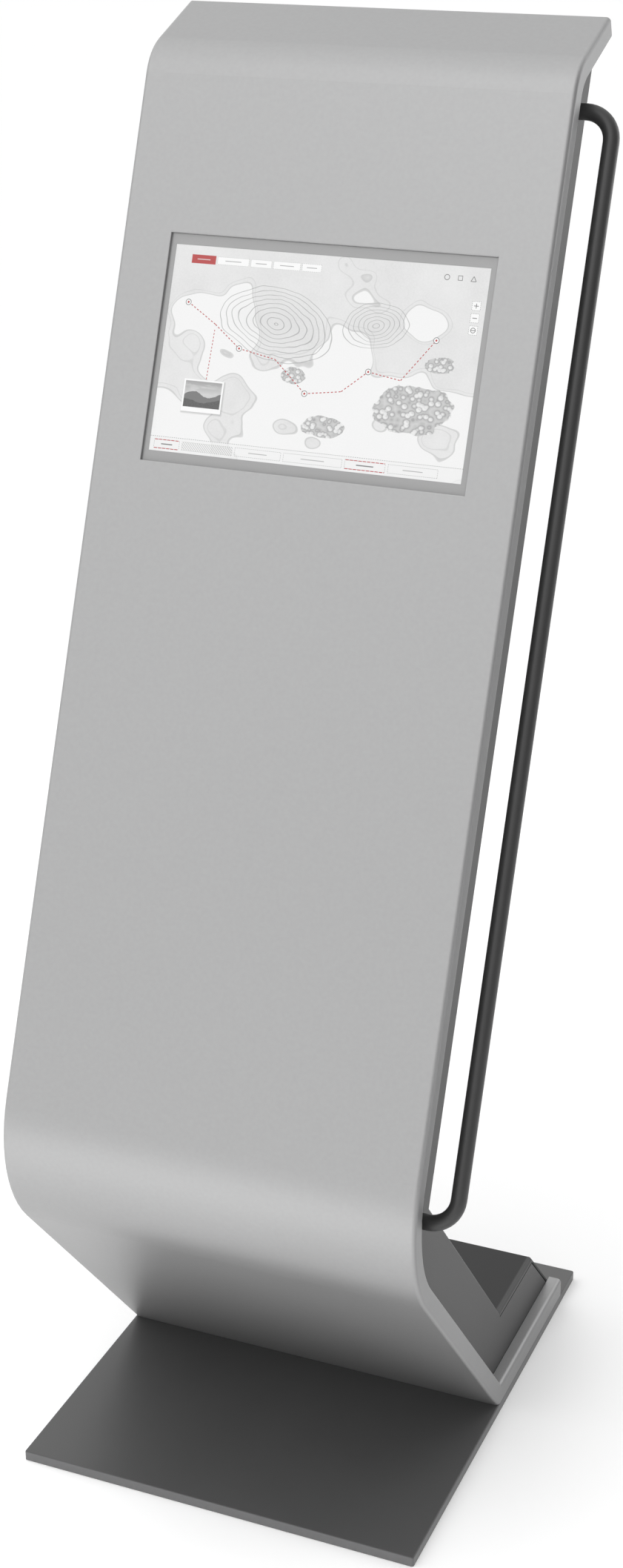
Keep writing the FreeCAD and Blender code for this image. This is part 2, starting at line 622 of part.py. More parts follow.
# ----------------------------------------------------------------- equipment
eq_d = 52.0
ef1 = lbox(-in_half, -in_half + 2, eq_d - 14, eq_d + 2, 300.0, 740.0)
ef2 = lbox(in_half - 2, in_half, eq_d - 14, eq_d + 2, 300.0, 740.0)
eq = fuse([lbox(-in_half, in_half, eq_d, eq_d + 2, 300.0, 740.0), ef1, ef2])
pc = (-165.0, 15.0, 560.0, 700.0)      # computer: x0, x1, s0, s1
ps = (-165.0, -5.0, 340.0, 440.0)      # supply
tb = (50.0, 150.0, 350.0, 372.0)       # terminal block
eq_pts = [(pc[0] + 10, pc[2] - 8), (pc[1] - 10, pc[2] - 8), (pc[0] + 10, pc[3] + 8), (pc[1] - 10, pc[3] + 8),
          (ps[0] + 10, ps[2] - 8), (ps[1] - 10, ps[2] - 8), (ps[0] + 10, ps[3] + 8), (ps[1] - 10, ps[3] + 8),
          (tb[0] + 5, tb[2] + 11), (tb[1] - 5, tb[2] + 11)]
eq = cut(eq, [lcyl(2.1, x, eq_d - 2, s, 6) for x, s in eq_pts])
for k in range(5):
    eq = eq.cut(lbox(60.0, 160.0, eq_d - 2, eq_d + 4, 480.0 + k * 30, 490.0 + k * 30))
export(put(eq, PAN), "equipment_plate")


def boxed(x0, x1, s0, s1, h, wall_holes=()):
    b = lbox(x0, x1, eq_d + 2, eq_d + 2 + h, s0, s1)
    ed = [e for e in b.Edges if abs(e.Vertexes[0].Y - e.Vertexes[1].Y) > 1]
    b = b.makeFillet(3.0, ed)
    ears = [lbox(x0, x0 + 20, eq_d + 2, eq_d + 4, s0 - 14, s0 + 4), lbox(x1 - 20, x1, eq_d + 2, eq_d + 4, s0 - 14, s0 + 4),
            lbox(x0, x0 + 20, eq_d + 2, eq_d + 4, s1 - 4, s1 + 14), lbox(x1 - 20, x1, eq_d + 2, eq_d + 4, s1 - 4, s1 + 14)]
    b = fuse([b] + ears)
    return cut(b, [lcyl(2.2, x, eq_d, s, 8) for x in (x0 + 10, x1 - 10) for s in (s0 - 8, s1 + 8)])


pc_h = 24.0
comp = boxed(pc[0], pc[1], pc[2], pc[3], pc_h)
for k, w in enumerate((16.0, 13.0, 13.0, 15.0)):
    comp = comp.cut(lbox(-140 + k * 34, -140 + k * 34 + w, eq_d + 8, eq_d + 16, pc[2] - 1, pc[2] + 6))
export(put(comp, PAN), "media_computer")
fins = [lbox(pc[0] + 6, pc[1] - 6, eq_d + 2 + pc_h, eq_d + 2 + pc_h + 3, pc[2] + 6, pc[3] - 6)]
for k in range(12):
    x = pc[0] + 10 + k * (pc[1] - pc[0] - 24) / 11.0
    fins.append(lbox(x, x + 3, eq_d + 2 + pc_h, eq_d + 2 + pc_h + 11, pc[2] + 6, pc[3] - 6))
export(put(fuse(fins), PAN), "computer_heatsink")
sup = boxed(ps[0], ps[1], ps[2], ps[3], 30.0)
for k in range(9):
    sup = sup.cut(lbox(ps[0] + 20 + k * 14, ps[0] + 27 + k * 14, eq_d + 30, eq_d + 34, ps[2] + 25, ps[3] - 25))
export(put(sup, PAN), "power_supply")
tbk = [lbox(tb[0], tb[1], eq_d + 2, eq_d + 18, tb[2], tb[3])]
tbs = tbk[0]
for k in range(8):
    tbs = tbs.cut(lcyl(2.6, tb[0] + 14 + k * 10.3, eq_d + 12, tb[2] + 5.5, 8))
    tbs = tbs.cut(lcyl(2.6, tb[0] + 14 + k * 10.3, eq_d + 12, tb[2] + 16.5, 8))
tbs = cut(tbs, [lcyl(2.2, x, eq_d, tb[2] + 11, 20) for x in (tb[0] + 5, tb[1] - 5)])
export(put(tbs, PAN), "terminal_block")
M4 = button_screw(1.9, 6.0, 3.8, 2.4)
M4l = button_screw(1.9, 20.0, 3.8, 2.4)
export(group([place(M4, PAN, x, eq_d + 4, s) for x, s in eq_pts[:8]] + [place(M4l, PAN, x, eq_d + 18, s) for x, s in eq_pts[8:]]), "equipment_screws")

# ----------------------------------------------------------------------- fan
fd1 = core_d - skin2_t            # frame sits on the inner face of the skin
fd0 = fd1 - 25.0
ff = lbox(-40, 40, fd0, fd1, fan_s - 40, fan_s + 40)
ed = [e for e in ff.Edges if abs(e.Vertexes[0].Y - e.Vertexes[1].Y) > 1]
ff = ff.makeFillet(4.0, ed)
ff = ff.cut(lcyl(38.0, 0, fd0 - 1, fan_s, 27))
struts = [lbox(-39, 39, fd0, fd0 + 2.5, fan_s - 2, fan_s + 2), lbox(-2, 2, fd0, fd0 + 2.5, fan_s - 39, fan_s + 39)]
hubb = lcyl(15.0, 0, fd0, fan_s, 3.0)
pin = lcyl(2.0, 0, fd0, fan_s, 13.5)
ff = fuse([ff] + struts + [hubb, pin])
ff = cut(ff, [lcyl(2.2, x, fd0 - 1, s, 27) for x, s in fan_holes])
export(put(ff, PAN), "fan_frame")
cup = lcyl(15.0, 0, fd0 + 3.6, fan_s, 17.0)
rot = [cup]
for k in range(7):
    bl = Part.makeBox(22.6, 1.6, 14.5, V(13.5, -0.8, -7.25))
    bl.rotate(V(0, 0, 0), V(1, 0, 0), 38)
    bl.rotate(V(0, 0, 0), V(0, 0, 1), 0)
    bl = bl.copy()
    # blade length along local x, spin axis along +Y after this turn
    m = FreeCAD.Placement(V(0, fd0 + 12.1, fan_s), FreeCAD.Rotation(V(0, 1, 0), k * 360.0 / 7))
    b2 = bl.copy()
    b2.Placement = m.multiply(b2.Placement)
    rot.append(b2)
rotor = fuse(rot)
rotor = rotor.cut(lcyl(2.05, 0, fd0, fan_s, 14.2))
export(put(rotor, PAN), "fan_rotor")
gd = []
for r in (10.0, 18.0, 26.0, 34.0):
    gd.append(Part.makeTorus(r, 0.8, V(0, core_d + 0.9, fan_s), V(0, 1, 0)))
for a in (45, 135):
    c, s = math.cos(math.radians(a)), math.sin(math.radians(a))
    gd.append(Part.makeCylinder(0.9, 96.0, V(-48 * c, core_d + 0.95, fan_s - 48 * s), V(c, 0, s)))
for x, s in fan_holes:
    gd.append(lcyl(4.2, x, core_d, s, 1.9))
guard = fuse(gd)
guard = cut(guard, [lcyl(2.2, x, core_d - 1, s, 5) for x, s in fan_holes])
guard = guard.common(lbox(-60, 60, core_d, core_d + 6, fan_s - 60, fan_s + 60))
export(put(guard, PAN), "fan_guard")
M4f = button_screw(1.95, 26.0, 3.6, 2.0)
export(group([place(M4f, PAN, x, core_d + 1.9, s) for x, s in fan_holes]), "fan_screws")

# -------------------------------------------------------------- service door
ov = 11.0
dh, ds0, ds1 = door_half + ov, door_s0 - ov, door_s1 + ov
seal_d = core_d + 1.7
dd0, dd1 = core_d + 2.0, core_d + 4.0
seal = lbox(-door_half - 7, door_half + 7, core_d, seal_d, door_s0 - 7, door_s1 + 7)
seal = seal.cut(lbox(-door_half - 2, door_half + 2, core_d - 1, seal_d + 1, door_s0 - 2, door_s1 + 2))
export(put(seal, PAN), "door_seal")
door = lbox(-dh, dh, dd0, dd1, ds0, ds1)
ed = [e for e in door.Edges if abs(e.Vertexes[0].Y - e.Vertexes[1].Y) > 1]
door = door.makeFillet(5.0, ed)
fi = 4.0
fl_d = core_d - 4.0
ring = lbox(-door_half + fi, door_half - fi, fl_d, dd0 + 0.5, door_s0 + fi, door_s1 - fi)
ring = ring.cut(lbox(-door_half + fi + 2, door_half - fi - 2, fl_d - 1, dd0 + 1, door_s0 + fi + 2, door_s1 - fi - 2))
door = fuse([door, ring])
lock_x, lock_s = 158.0, 720.0
door = cut(door, [lcyl(9.3, lock_x, core_d - 8, lock_s, 20)])
door = cut(door, [lcyl(2.1, -186.0, core_d - 8, s + ds, 20) for s in hinge_s for ds in (-24.0, 24.0)])
export(put(door, PAN), "service_door")

# hinge: two hinges, each with three knuckles on the frame leaf side and two on the door
kn = 64.0                       # hinge height
seg = [-32.0, -19.0, -6.0, 6.0, 19.0, 32.0]
fl, dl, pins = [], [], []
for hs in hinge_s:
    plate = lbox(-226.0, -207.8, core_d, core_d + 2.0, hs - 32, hs + 32)
    parts_f = [plate]
    for i in (0, 2, 4):
        a, b = hs + seg[i] + 0.2, hs + seg[i + 1] - 0.2
        parts_f.append(Part.makeCylinder(knuckle_r, b - a, V(hinge_x, hinge_d, a), V(0, 0, 1)))
        parts_f.append(Part.Face(Part.makePolygon([V(-209.5, core_d, a), V(-207.8, core_d, a), V(hinge_x - 0.5, hinge_d - 4.2, a),
                                                   V(hinge_x, hinge_d, a), V(hinge_x - 4.3, hinge_d, a), V(-209.5, core_d + 2.0, a), V(-209.5, core_d, a)])).extrude(V(0, 0, b - a)))
    f = fuse(parts_f)
    f = f.cut(Part.makeCylinder(pin_r, 80, V(hinge_x, hinge_d, hs - 40), V(0, 0, 1)))
    f = cut(f, [lcyl(2.2, -217.0, core_d - 1, hs + ds, 6) for ds in (-24.0, 0.0, 24.0)])
    fl.append(put(f, PAN))
    plate = lbox(-192.8, -176.0, dd1, dd1 + 2.0, hs - 32, hs + 32)
    parts_d = [plate]
    for i in (1, 3):
        a, b = hs + seg[i] + 0.2, hs + seg[i + 1] - 0.2
        parts_d.append(Part.makeCylinder(knuckle_r, b - a, V(hinge_x, hinge_d, a), V(0, 0, 1)))
        parts_d.append(lbox(hinge_x, -191.0, dd1, dd1 + 2.0, a, b))
    g = fuse(parts_d)
    g = g.cut(Part.makeCylinder(pin_r + 0.05, 80, V(hinge_x, hinge_d, hs - 40), V(0, 0, 1)))
    g = cut(g, [lcyl(2.2, -186.0, dd1 - 1, hs + ds, 6) for ds in (-24.0, 24.0)])
    dl.append(put(g, PAN))
    pn = Part.makeCylinder(pin_r, 64.0, V(hinge_x, hinge_d, hs - 32), V(0, 0, 1))
    pn = fuse([pn, Part.makeCylinder(3.6, 1.5, V(hinge_x, hinge_d, hs + 32), V(0, 0, 1)), Part.makeCylinder(3.6, 1.5, V(hinge_x, hinge_d, hs - 33.5), V(0, 0, 1))])
    pins.append(put(pn, PAN))
export(group(fl), "hinge_frame_leaves")
export(group(dl), "hinge_door_leaves")
export(group(pins), "hinge_pins")
H4 = button_screw(1.95, 7.0, 3.6, 1.6)
export(group([place(H4, PAN, x, core_d + 2.0, s) for x, s in frame_leaf_holes]), "hinge_frame_screws")
H4d = button_screw(1.95, 4.2, 3.6, 1.6)
export(group([place(H4d, PAN, -186.0, dd1 + 2.0, s + ds) for s in hinge_s for ds in (-24.0, 24.0)]), "hinge_door_screws")

# lock: barrel and nut on the door, plug and cam turn
bar = fuse([lcyl(9.0, lock_x, core_d - 2.6, lock_s, 6.6 + 0.2), lcyl(11.5, lock_x, dd1, lock_s, 3.0)])
bar = bar.cut(lcyl(6.05, lock_x, core_d - 4, lock_s, 20))
export(put(bar, PAN), "lock_barrel")
nutp = Part.Face(Part.makePolygon([V(lock_x + 13.5 * math.cos(math.radians(60 * k)), core_d - 1.6, lock_s + 13.5 * math.sin(math.radians(60 * k))) for k in range(7)])).extrude(V(0, dd0 - core_d + 1.6, 0))
nutp = nutp.cut(lcyl(9.0, lock_x, core_d - 4, lock_s, 20))
export(put(nutp, PAN), "lock_nut")
plug = lcyl(6.0, lock_x, core_d - 5.2, lock_s, 5.2 + 4.0 + 2.6)
plug = plug.cut(lbox(lock_x - 0.6, lock_x + 0.6, dd1 - 3, dd1 + 5, lock_s - 3.5, lock_s + 3.5))
export(put(plug, PAN), "lock_plug")
cam = fuse([lcyl(9.0, lock_x, core_d - 7.7, lock_s, 2.5), lbox(lock_x - 8.0, lock_x + 8.0, core_d - 7.7, core_d - 5.2, lock_s - 38.0, lock_s)])
scr = fuse([lcyl(4.5, lock_x, core_d - 10.2, lock_s, 2.5)])
cam = fuse([cam, scr])
export(put(cam, PAN), "lock_cam")

# ---------------------------------------------------------- mains inlet, foot
# slope frame: +Y down the slope, +Z outward
body = Part.makeBox(27.6, 47.6, 26.0, V(inlet_x - 13.8, inlet_t - 23.8, -26.0))
flg = Part.makeBox(50.0, 56.0, 2.4, V(inlet_x - 25.0, inlet_t - 28.0, 0.0))
ed = [e for e in flg.Edges if abs(e.Vertexes[0].Z - e.Vertexes[1].Z) > 1]
flg = flg.makeFillet(4.0, ed)
inlet = fuse([body, flg])
sock = Part.makeBox(22.6, 16.6, 18.0, V(inlet_x - 11.3, inlet_t + 3.0, -15.0))
inlet = inlet.cut(sock)
for px, py in ((-7.0, 13.5), (7.0, 13.5), (0.0, 8.5)):
    inlet = inlet.fuse(Part.makeBox(2.0, 4.0, 12.0, V(inlet_x + px - 1.0, inlet_t + py - 2.0, -15.5)))
inlet = inlet.removeSplitter()
rk_y = inlet_t - 12.0            # rocker pivot across the slope
rk_z = -3.0
pocket = Part.makeBox(22.0, 17.0, 14.0, V(inlet_x - 11.0, rk_y - 8.5, -11.0))
inlet = inlet.cut(pocket)
# stub pins of the rocker turn in blind holes of the pocket's side walls
inlet = inlet.cut(Part.makeCylinder(1.55, 26.0, V(inlet_x - 13.0, rk_y, rk_z), V(1, 0, 0)))
inlet = cut(inlet, [Part.makeCylinder(1.7, 12, V(inlet_x + sx * 20.0, inlet_t, -7)) for sx in (-1, 1)])
export(put(inlet, SLO), "power_inlet")
rk = Part.Face(Part.makePolygon([V(inlet_x - 10.6, rk_y - 7.4, rk_z + 4.4), V(inlet_x - 10.6, rk_y, rk_z + 6.4), V(inlet_x - 10.6, rk_y + 7.4, rk_z + 4.4),
                                 V(inlet_x - 10.6, rk_y + 6.0, rk_z - 2.0), V(inlet_x - 10.6, rk_y, rk_z - 5.0), V(inlet_x - 10.6, rk_y - 6.0, rk_z - 2.0),
                                 V(inlet_x - 10.6, rk_y - 7.4, rk_z + 4.4)])).extrude(V(21.2, 0, 0))
rk = rk.fuse(Part.makeCylinder(1.5, 25.6, V(inlet_x - 12.8, rk_y, rk_z), V(1, 0, 0))).removeSplitter()
rk.rotate(V(inlet_x, rk_y, rk_z), V(1, 0, 0), -9.0)
export(put(rk, SLO), "switch_rocker")
M3 = button_screw(1.5, 6.0, 2.8, 1.5)
iscr = []
for sx in (-1, 1):
    q = M3.copy()
    q.Placement = SLO.multiply(FreeCAD.Placement(V(inlet_x + sx * 20.0, inlet_t, 2.4), FreeCAD.Rotation(V(1, 0, 0), 90)))
    iscr.append(q)
export(group(iscr), "inlet_screws")


def show(name, p):
    print("%s (%.4f, %.4f, %.4f) mm" % (name, p.x, p.y, p.z))


show("door hinge point", PAN.multVec(V(hinge_x, hinge_d, 720.0)))
show("panel up", PAN.Rotation.multVec(V(0, 0, 1)))
show("panel depth", PAN.Rotation.multVec(V(0, 1, 0)))
show("lock point", PAN.multVec(V(lock_x, core_d + 4, lock_s)))
show("fan point", PAN.multVec(V(0, fd0 + 12.1, fan_s)))
show("rocker point", SLO.multVec(V(inlet_x, rk_y, rk_z)))
show("slope out", SLO.Rotation.multVec(V(0, 0, 1)))
show("picture centre", PAN.multVec(V(0, skin_t + 0.6, pic_s)))
show("knee", V(0, R_KNEE[0], R_KNEE[1]))
show("foot", V(0, R_FOOT[0], R_FOOT[1]))
show("lip end", V(0, p0[8][0], p0[8][1]))
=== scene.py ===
import bpy
import bmesh
import json
import math
from mathutils import Matrix, Vector

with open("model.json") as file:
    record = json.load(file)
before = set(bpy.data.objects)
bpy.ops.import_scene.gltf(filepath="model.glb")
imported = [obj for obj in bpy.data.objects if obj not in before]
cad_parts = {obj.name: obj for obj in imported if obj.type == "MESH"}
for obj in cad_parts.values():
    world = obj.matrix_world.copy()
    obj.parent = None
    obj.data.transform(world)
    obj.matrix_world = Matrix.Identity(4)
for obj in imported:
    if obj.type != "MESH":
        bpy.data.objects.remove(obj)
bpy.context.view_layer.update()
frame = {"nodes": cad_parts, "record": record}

NODES = frame["nodes"]
scene = bpy.context.scene

# ------------------------------------------------------------------- geometry
LEAN = math.radians(21.32)
UP = Vector((0.0, math.sin(LEAN), math.cos(LEAN)))        # up the panel
DEP = Vector((0.0, math.cos(LEAN), -math.sin(LEAN)))      # into the panel
VB = Vector((0.0, -0.3407, 0.4046))


def pan(x, d, s):
    """a point of the panel's frame, given in millimetres"""
    return Vector((x / 1000.0, 0, 0)) + VB + UP * (s / 1000.0) + DEP * (d / 1000.0)


PIC = pan(0, 3.6, 961.55)

# --------------------------------------------------------------------- camera
cam_data = bpy.data.cameras.new("view_camera")
cam_data.sensor_width = 36.0
cam_data.lens = 56.9
cam_data.shift_x = -0.00327
cam_data.shift_y = -0.02377
cam_data.clip_end = 200.0
cam = bpy.data.objects.new("view_camera", cam_data)
cam.location = (1.0143, -2.4339, 1.9149)
cam.rotation_euler = (math.radians(68.069), 0.0, math.radians(22.5))
scene.collection.objects.link(cam)
scene.camera = cam

scene.view_settings.view_transform = "Standard"
scene.view_settings.look = "None"
scene.view_settings.exposure = 0.0
scene.view_settings.gamma = 1.0


# ----------------------------------------------------- node-building helpers
class S:
    """a value inside a node tree, with arithmetic"""

    def __init__(self, tree, sock):
        self.t, self.s = tree, sock

    def _op(self, op, other=None, third=None, swap=False):
        n = self.t.nt.nodes.new("ShaderNodeMath")
        n.operation = op
        a, b = (other, self) if swap else (self, other)
        for i, v in enumerate((a, b, third)):
            if v is None:
                continue
            if isinstance(v, S):
                self.t.nt.links.new(v.s, n.inputs[i])
            else:
                n.inputs[i].default_value = float(v)
        return S(self.t, n.outputs[0])

    def __add__(self, o): return self._op("ADD", o)
    def __radd__(self, o): return self._op("ADD", o)
    def __sub__(self, o): return self._op("SUBTRACT", o)
    def __rsub__(self, o): return self._op("SUBTRACT", o, swap=True)
    def __mul__(self, o): return self._op("MULTIPLY", o)
    def __rmul__(self, o): return self._op("MULTIPLY", o)
    def __truediv__(self, o): return self._op("DIVIDE", o)
    def abs(self): return self._op("ABSOLUTE")
    def sin(self): return self._op("SINE")
    def sqrt(self): return self._op("SQRT")
    def fract(self): return self._op("FRACT")
    def floor(self): return self._op("FLOOR")
    def pow(self, o): return self._op("POWER", o)
    def min(self, o): return self._op("MINIMUM", o)
    def max(self, o): return self._op("MAXIMUM", o)
    def clamp(self, lo=0.0, hi=1.0): return self.max(lo).min(hi)
    def gt(self, o): return self._op("GREATER_THAN", o)
    def lt(self, o): return self._op("LESS_THAN", o)

    def step(self, e0, e1):
        """smooth 0 to 1 as the value goes from e0 to e1"""
        n = self.t.nt.nodes.new("ShaderNodeMapRange")
        n.interpolation_type = "SMOOTHSTEP"
        self.t.nt.links.new(self.s, n.inputs[0])
        if e0 < e1:
            n.inputs[1].default_value, n.inputs[2].default_value = e0, e1
            n.inputs[3].default_value, n.inputs[4].default_value = 0.0, 1.0
        else:
            n.inputs[1].default_value, n.inputs[2].default_value = e1, e0
            n.inputs[3].default_value, n.inputs[4].default_value = 1.0, 0.0
        return S(self.t, n.outputs[0])


class Mat:
    """one procedural material around a Principled shader"""

    def __init__(self, name, rough=0.5, metal=0.0, spec=0.5, coat=0.0, coat_rough=0.05, sheen=0.0, ior=1.5):
        self.m = bpy.data.materials.new(name)
        self.m.use_nodes = True
        self.nt = self.m.node_tree
        self.nt.nodes.clear()
        self.out = self.nt.nodes.new("ShaderNodeOutputMaterial")
        self.b = self.nt.nodes.new("ShaderNodeBsdfPrincipled")
        self.nt.links.new(self.b.outputs[0], self.out.inputs[0])
        self.b.inputs["Roughness"].default_value = rough
        self.b.inputs["Metallic"].default_value = metal
        self.b.inputs["Specular IOR Level"].default_value = spec
        self.b.inputs["IOR"].default_value = ior
        self.b.inputs["Coat Weight"].default_value = coat
        self.b.inputs["Coat Roughness"].default_value = coat_rough
        self.b.inputs["Sheen Weight"].default_value = sheen
        tc = self.nt.nodes.new("ShaderNodeTexCoord")
        self.obj = tc.outputs["Object"]
        self.nrm = None
        self._xyz = None

    def link(self, a, b):
        self.nt.links.new(a.s if isinstance(a, S) else a, b)

    def xyz(self):
        if self._xyz is None:
            n = self.nt.nodes.new("ShaderNodeSeparateXYZ")
            self.link(self.obj, n.inputs[0])
            self._xyz = tuple(S(self, n.outputs[i]) for i in range(3))
        return self._xyz

    def along(self, origin, axis, scale=1000.0):
        """distance along an axis from an origin, in millimetres"""
        x, y, z = self.xyz()
        a = Vector(axis).normalized() * scale
        off = -a.dot(Vector(origin))
        e = None
        for c, k in ((x, a.x), (y, a.y), (z, a.z)):
            if abs(k) < 1e-9:
                continue
            e = c * k if e is None else e + c * k
        return e + off

    def vec(self, a, b=0.0, c=0.0):
        n = self.nt.nodes.new("ShaderNodeCombineXYZ")
        for i, v in enumerate((a, b, c)):
            if isinstance(v, S):
                self.link(v, n.inputs[i])
            else:
                n.inputs[i].default_value = v
        return n.outputs[0]

    def stretch(self, sx, sy, sz, vec=None):
        n = self.nt.nodes.new("ShaderNodeMapping")
        self.link(vec or self.obj, n.inputs[0])
        n.inputs["Scale"].default_value = (sx, sy, sz)
        return n.outputs[0]

    def turned(self, rx, vec=None):
        n = self.nt.nodes.new("ShaderNodeMapping")
        self.link(vec or self.obj, n.inputs[0])
        n.inputs["Rotation"].default_value = (rx, 0, 0)
        return n.outputs[0]

    def noise(self, scale, detail=3.0, rough=0.5, vec=None, distort=0.0):
        n = self.nt.nodes.new("ShaderNodeTexNoise")
        self.link(vec or self.obj, n.inputs["Vector"])
        n.inputs["Scale"].default_value = scale
        n.inputs["Detail"].default_value = detail
        n.inputs["Roughness"].default_value = rough
        n.inputs["Distortion"].default_value = distort
        return S(self, n.outputs[0])

    def voronoi(self, scale, vec=None, feature="F1", out="Distance", randomness=1.0):
        n = self.nt.nodes.new("ShaderNodeTexVoronoi")
        n.feature = feature
        self.link(vec or self.obj, n.inputs["Vector"])
        n.inputs["Scale"].default_value = scale
        n.inputs["Randomness"].default_value = randomness
        return S(self, n.outputs[out])

    def ramp(self, fac, stops, mode="EASE"):
        n = self.nt.nodes.new("ShaderNodeValToRGB")
        n.color_ramp.interpolation = mode
        self.link(fac, n.inputs[0])
        els = n.color_ramp.elements
        while len(els) > 1:
            els.remove(els[-1])
        els[0].position = stops[0][0]
        els[0].color = rgba(stops[0][1])
        for p, c in stops[1:]:
            e = els.new(p)
            e.color = rgba(c)
        return n.outputs[0]

    def mix(self, fac, a, b):
        """colour a to colour b by fac"""
        n = self.nt.nodes.new("ShaderNodeMix")
        n.data_type = "RGBA"
        n.clamp_factor = True
        if isinstance(fac, S):
            self.link(fac, n.inputs[0])
        else:
            n.inputs[0].default_value = fac
        for i, v in ((6, a), (7, b)):
            if isinstance(v, (tuple, list, float, int)):
                n.inputs[i].default_value = rgba(v)
            else:
                self.link(v, n.inputs[i])
        return n.outputs[2]

    def color(self, c):
        if isinstance(c, (tuple, list, float, int)):
            self.b.inputs["Base Color"].default_value = rgba(c)
        else:
            self.link(c, self.b.inputs["Base Color"])
        return self

    def rough(self, e):
        self.link(e, self.b.inputs["Roughness"])
        return self

    def bump(self, height, strength=0.3, dist=0.0002):
        n = self.nt.nodes.new("ShaderNodeBump")
        n.inputs["Strength"].default_value = strength
        n.inputs["Distance"].default_value = dist
        self.link(height, n.inputs["Height"])
        if self.nrm is not None:
            self.link(self.nrm, n.inputs["Normal"])
        self.nrm = n.outputs[0]
        self.link(self.nrm, self.b.inputs["Normal"])
        return self

    def face(self, axis):
        """how far the surface's own normal points along an axis, -1 to 1"""
        g = self.nt.nodes.new("ShaderNodeTexCoord")
        d = self.nt.nodes.new("ShaderNodeVectorMath")
        d.operation = "DOT_PRODUCT"
        self.link(g.outputs["Normal"], d.inputs[0])
        d.inputs[1].default_value = Vector(axis).normalized()
        return S(self, d.outputs["Value"])


def rgba(v):
    if isinstance(v, (int, float)):
        return (v, v, v, 1.0)
    return tuple(v) + ((1.0,) if len(v) == 3 else ())


def lin(v):
    """linear value of an 8-bit grey"""
    c = v / 255.0
    return c / 12.92 if c <= 0.04045 else ((c + 0.055) / 1.055) ** 2.4


# ------------------------------------------------------------------ materials


def mat_shell():
    m = Mat("satin_silver_coat", rough=0.42, metal=0.6, spec=0.25)
    cloud = m.noise(5.0, 4, 0.55)
    peel = m.noise(210.0, 1, 0.5)
    fleck = m.noise(1500.0, 2, 0.7)
    c = m.ramp(cloud * 0.25 + peel * 0.5 + fleck * 0.25, [(0.3, (0.347, 0.347, 0.3485)), (0.7, (0.368, 0.368, 0.3695))], "LINEAR")
    # painted shade: faces turned to either side, the cut edges, are painted a little darker
    cut = m.face((1, 0, 0)).abs().step(0.60, 0.96)
    c = m.mix(cut * (m.noise(60.0, 3, 0.6) * 0.24 + 0.82), c, (0.285, 0.285, 0.287))
    m.color(c)
    m.rough(m.noise(420.0, 3, 0.6) * 0.07 + cloud * 0.05 + 0.375)
    m.bump(m.noise(950.0, 3, 0.65), 0.10, 0.00015)
    m.bump(peel, 0.03, 0.0002)
    return m.m


def mat_powder(name, lo, hi, rough=0.5, bump=0.22, spec=0.5):
    m = Mat(name, rough=rough, spec=spec)
    cloud = m.noise(6.0, 4, 0.55)
    grain = m.noise(1100.0, 2, 0.65)
    m.color(m.ramp(cloud * 0.5 + grain * 0.5, [(0.3, lo), (0.7, hi)], "LINEAR"))
    m.rough(grain * 0.1 + cloud * 0.06 + (rough - 0.08))
    m.bump(m.noise(700.0, 3, 0.6), bump, 0.00018)
    return m.m


def mat_cover():
    """powder coat of the low box's cover, with painted shade on its flat top and a painted highlight on its rounded
    long edges
    """
    m = Mat("cover_powder_coat", rough=0.46, spec=0.42)
    cloud = m.noise(6.0, 4, 0.55)
    grain = m.noise(1100.0, 2, 0.65)
    c = m.ramp(cloud * 0.5 + grain * 0.5, [(0.3, 0.034), (0.7, 0.041)], "LINEAR")
    x, y, z = m.xyz()
    # painted shade: faces looking straight up are painted darker
    c = m.mix(m.face((0, 0, 1)).step(0.93, 0.995), c, m.ramp(cloud * 0.5 + grain * 0.5, [(0.3, 0.010), (0.7, 0.016)], "LINEAR"))
    highlight_mottle = m.noise(70.0, 3, 0.6)
    rim = x.abs().step(0.2252, 0.2280)
    slope = y.step(0.1755, 0.1790)
    # painted highlight: the rounded long edges, short of the rear slope, are painted lighter
    c = m.mix(rim * (1.0 - slope) * (highlight_mottle * 0.3 + 0.7), c, (0.072, 0.072, 0.0725))
    m.color(c)
    m.rough(grain * 0.1 + cloud * 0.06 + rim * slope * 0.34 + 0.38)
    m.bump(m.noise(700.0, 3, 0.6), 0.2, 0.00018)
    return m.m


def mat_plate():
    """powder coat of the floor plate, its upright cut edges painted lighter as a painted highlight, and scuffed
    where feet stand
    """
    m = Mat("plate_powder_coat", rough=0.42, spec=0.46)
    cloud = m.noise(6.0, 4, 0.55)
    grain = m.noise(1100.0, 2, 0.65)
    c = m.ramp(cloud * 0.5 + grain * 0.5, [(0.3, 0.066), (0.7, 0.078)], "LINEAR")
    # painted highlight: the upright cut edges are painted lighter
    side = m.face((0, 0, 1)).abs().step(0.85, 0.35)
    highlight_mottle = m.noise(90.0, 3, 0.6)
    c = m.mix(side * (highlight_mottle * 0.3 + 0.7), c, (0.155, 0.155, 0.157))
    x, y, z = m.xyz()
    stand = y.step(-0.06, -0.16)
    scuff = m.noise(34.0, 5, 0.7, vec=m.stretch(1.0, 0.45, 1.0), distort=0.6).step(0.60, 0.74)
    c = m.mix(scuff * stand * 0.16, c, (0.11, 0.11, 0.112))
    # painted light: the strip of plate behind the leg is painted lighter
    rear_light = y.step(0.240, 0.275) * (m.noise(26.0, 4, 0.6) * 0.4 + 0.7)
    c = m.mix(rear_light, c, (0.118, 0.118, 0.117))
    m.color(c)
    m.rough(grain * 0.1 + cloud * 0.06 + scuff * stand * 0.07 + 0.34)
    m.bump(m.noise(700.0, 3, 0.6), 0.25, 0.00018)
    return m.m


def mat_tube():
    m = Mat("satin_black_tube_coat", rough=0.36)
    cloud = m.noise(9.0, 3, 0.5)
    grain = m.noise(900.0, 2, 0.6)
    m.color(m.ramp(cloud * 0.6 + grain * 0.4, [(0.3, 0.030), (0.7, 0.040)], "LINEAR"))
    m.rough(grain * 0.08 + cloud * 0.05 + 0.31)
    m.bump(m.noise(800.0, 3, 0.6), 0.12, 0.00012)
    return m.m


